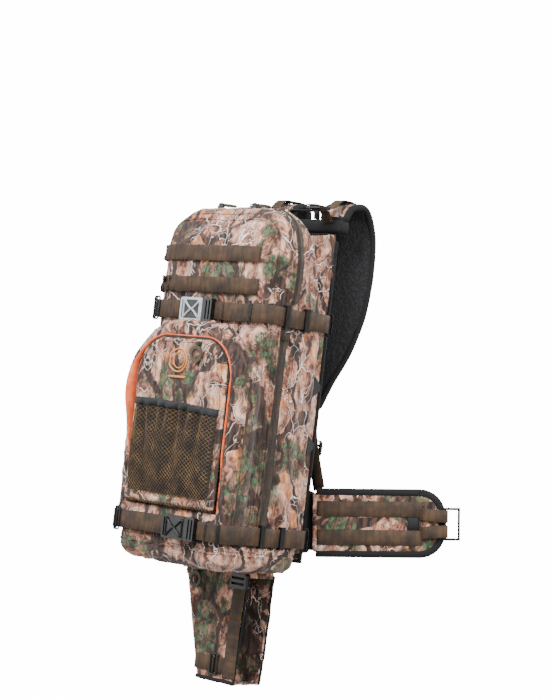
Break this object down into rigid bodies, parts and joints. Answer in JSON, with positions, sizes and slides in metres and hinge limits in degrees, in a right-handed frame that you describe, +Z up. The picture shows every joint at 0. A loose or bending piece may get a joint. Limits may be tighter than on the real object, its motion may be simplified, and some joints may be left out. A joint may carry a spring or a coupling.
{
  "type": "hunting backpack",
  "caption": "Camouflage hunting backpack with a rifle sleeve behind the bag, a drop-down butt boot, a flap pocket with mesh front, load rows, compression straps and a padded harness.",
  "frame": {"origin": "where a hook bears, under the top of the haul loop, on the pack's middle plane", "axes": "+Z up, +Y towards the wearer's back, -Y the way the bag's front faces, +X the wearer's right"},
  "size_m": [0.536, 0.426, 0.8023],
  "materials": {
    "camo_fabric": "woven polyester, printed woodland pattern",
    "brown_webbing": "coyote-brown woven webbing",
    "black_webbing": "black woven webbing",
    "black_fabric": "black spacer mesh and foam",
    "orange_lining": "coated lining",
    "olive_mesh": "open stretch mesh",
    "grey_elastic": "folded elastic tape",
    "zip_tape": "zip tape with coil teeth",
    "olive_rubber": "cord with moulded sleeve",
    "zip_metal": "dark painted slider",
    "black_plastic": "moulded acetal",
    "grey_plastic": "moulded acetal",
    "sheet_plastic": "polyethylene frame sheet",
    "stay_aluminium": "flat bar"
  },
  "bodies": {
    "pack": {"back_pads": "black_fabric", "base_pocket": "camo_fabric", "bottom_buckle_socket": "black_plastic", "bottom_strap_left": "brown_webbing", "bottom_strap_right": "brown_webbing", "frame_sheet": "sheet_plastic", "front_pocket_gusset": "camo_fabric", "front_pocket_lining": "orange_lining", "harness_panel": "black_fabric", "haul_loop": "black_webbing", "lifter_buckles": "black_plastic", "lifter_webs": "black_webbing", "load_rows": "brown_webbing", "lumbar_pad": "black_fabric", "main_compartment": "camo_fabric", "side_tabs": "black_webbing", "sleeve_wall_left": "camo_fabric", "sleeve_wall_right": "camo_fabric", "stays": "stay_aluminium", "strap_keepers": "black_plastic", "top_buckle_socket": "grey_plastic", "top_strap_left": "brown_webbing", "top_strap_right": "brown_webbing", "yoke": "black_fabric", "zip_tapes": "zip_tape"},
    "flap": {"flap_panel": "camo_fabric", "mesh_pocket": "olive_mesh", "mesh_hem": "grey_elastic"},
    "front_slider": {"front_zip_slider": "zip_metal"},
    "front_pull": {"front_zip_pull": "olive_rubber"},
    "crown_slider_right": {"crown_zip_slider_right": "zip_metal"},
    "crown_pull_right": {"crown_zip_pull_right": "olive_rubber"},
    "crown_slider_left": {"crown_zip_slider_left": "zip_metal"},
    "crown_pull_left": {"crown_zip_pull_left": "olive_rubber"},
    "side_slider_right": {"side_zip_slider_right": "zip_metal"},
    "side_slider_left": {"side_zip_slider_left": "zip_metal"},
    "top_plug": {"top_buckle_plug": "black_plastic"},
    "top_arm_upper": {"top_buckle_arm_upper": "black_plastic"},
    "top_arm_lower": {"top_buckle_arm_lower": "black_plastic"},
    "bottom_plug": {"bottom_buckle_plug": "black_plastic"},
    "bottom_arm_upper": {"bottom_buckle_arm_upper": "black_plastic"},
    "bottom_arm_lower": {"bottom_buckle_arm_lower": "black_plastic"},
    "boot": {"boot_shell": "camo_fabric", "boot_strap": "brown_webbing", "boot_lock": "black_plastic", "boot_web": "brown_webbing", "boot_zip_slider": "zip_metal"},
    "boot_pull": {"boot_zip_pull": "olive_rubber"},
    "hip_right": {"hip_wing_right": "camo_fabric", "hip_webbing_right": "brown_webbing"},
    "hip_left": {"hip_wing_left": "camo_fabric", "hip_webbing_left": "brown_webbing"},
    "tip_right": {"tip_frame_right": "black_plastic"},
    "tip_left": {"tip_frame_left": "black_plastic"},
    "shoulder_right": {"shoulder_pad_right": "black_fabric", "shoulder_web_right": "brown_webbing", "shoulder_lock_right": "black_plastic"},
    "shoulder_left": {"shoulder_pad_left": "black_fabric", "shoulder_web_left": "brown_webbing", "shoulder_lock_left": "black_plastic"}
  },
  "joints": [
    {"name": "flap_hinge", "type": "hinge", "parent": "pack", "child": "flap", "pos_m": [0, -0.2268, -0.5035], "axis": [1, 0, 0], "range_deg": [0, 75]},
    {"name": "front_zip_run", "type": "slide", "parent": "flap", "child": "front_slider", "axis": [1, 0, 0], "range_m": [-0.076, 0.004]},
    {"name": "front_pull_swing", "type": "hinge", "parent": "front_slider", "child": "front_pull", "pos_m": [0.038, -0.241, -0.246], "axis": [1, 0, 0], "range_deg": [-85, 5]},
    {"name": "crown_zip_run_right", "type": "slide", "parent": "pack", "child": "crown_slider_right", "axis": [1, 0, 0], "range_m": [-0.022, 0.048]},
    {"name": "crown_pull_swing_right", "type": "hinge", "parent": "crown_slider_right", "child": "crown_pull_right", "pos_m": [0.016, -0.131, -0.0093], "axis": [1, 0, 0], "range_deg": [0, 160]},
    {"name": "crown_zip_run_left", "type": "slide", "parent": "pack", "child": "crown_slider_left", "axis": [1, 0, 0], "range_m": [-0.004, 0.024]},
    {"name": "crown_pull_swing_left", "type": "hinge", "parent": "crown_slider_left", "child": "crown_pull_left", "pos_m": [-0.062, -0.131, -0.0093], "axis": [1, 0, 0], "range_deg": [0, 160]},
    {"name": "side_zip_run_right", "type": "slide", "parent": "pack", "child": "side_slider_right", "axis": [0, 0, 1], "range_m": [-0.28, 0.004]},
    {"name": "side_zip_run_left", "type": "slide", "parent": "pack", "child": "side_slider_left", "axis": [0, 0, 1], "range_m": [-0.28, 0.004]},
    {"name": "top_buckle_release", "type": "slide", "parent": "pack", "child": "top_plug", "axis": [1, 0, 0], "range_m": [0, 0.04]},
    {"name": "top_arm_upper_squeeze", "type": "hinge", "parent": "top_plug", "child": "top_arm_upper", "pos_m": [0.004, -0.2045, -0.1752], "axis": [0, 1, 0], "range_deg": [-4, 0], "stiffness_Nm_per_rad": 0.05},
    {"name": "top_arm_lower_squeeze", "type": "hinge", "parent": "top_plug", "child": "top_arm_lower", "pos_m": [0.004, -0.2045, -0.2048], "axis": [0, 1, 0], "range_deg": [0, 4], "stiffness_Nm_per_rad": 0.05},
    {"name": "bottom_buckle_release", "type": "slide", "parent": "pack", "child": "bottom_plug", "axis": [1, 0, 0], "range_m": [0, 0.04]},
    {"name": "bottom_arm_upper_squeeze", "type": "hinge", "parent": "bottom_plug", "child": "bottom_arm_upper", "pos_m": [0.054, -0.2348, -0.5192], "axis": [0, 1, 0], "range_deg": [-4, 0], "stiffness_Nm_per_rad": 0.05},
    {"name": "bottom_arm_lower_squeeze", "type": "hinge", "parent": "bottom_plug", "child": "bottom_arm_lower", "pos_m": [0.054, -0.2348, -0.5488], "axis": [0, 1, 0], "range_deg": [0, 4], "stiffness_Nm_per_rad": 0.05},
    {"name": "boot_swing", "type": "hinge", "parent": "pack", "child": "boot", "pos_m": [0, -0.04614, -0.6], "axis": [1, 0, 0], "range_deg": [-14, 14]},
    {"name": "boot_pull_swing", "type": "hinge", "parent": "boot", "child": "boot_pull", "pos_m": [-0.074, -0.08, -0.606], "axis": [1, 0, 0], "range_deg": [-85, 5]},
    {"name": "hip_swing_right", "type": "hinge", "parent": "pack", "child": "hip_right", "pos_m": [0.092, 0.012, -0.507], "axis": [0, 0, 1], "range_deg": [-38, 35]},
    {"name": "hip_swing_left", "type": "hinge", "parent": "pack", "child": "hip_left", "pos_m": [-0.092, 0.012, -0.507], "axis": [0, 0, 1], "range_deg": [-35, 38]},
    {"name": "tip_frame_swing_right", "type": "hinge", "parent": "hip_right", "child": "tip_right", "pos_m": [0.24774, 0.1526, -0.48498], "axis": [-0.0739, -0.0739, 0.9945], "range_deg": [-45, 45]},
    {"name": "tip_frame_swing_left", "type": "hinge", "parent": "hip_left", "child": "tip_left", "pos_m": [-0.24774, 0.1526, -0.48498], "axis": [0.0739, -0.0739, 0.9945], "range_deg": [-45, 45]},
    {"name": "shoulder_swing_right", "type": "hinge", "parent": "pack", "child": "shoulder_right", "pos_m": [0.062, 0.008, -0.0125], "axis": [0.0408, 0.0392, -0.9984], "range_deg": [0, 25]},
    {"name": "shoulder_swing_left", "type": "hinge", "parent": "pack", "child": "shoulder_left", "pos_m": [-0.062, 0.008, -0.0125], "axis": [-0.0408, 0.0392, -0.9984], "range_deg": [-25, 0]}
  ],
  "couplings": [
    {"joint": "top_arm_lower_squeeze", "follows": "top_arm_upper_squeeze", "ratio": -1},
    {"joint": "bottom_arm_lower_squeeze", "follows": "bottom_arm_upper_squeeze", "ratio": -1}
  ]
}
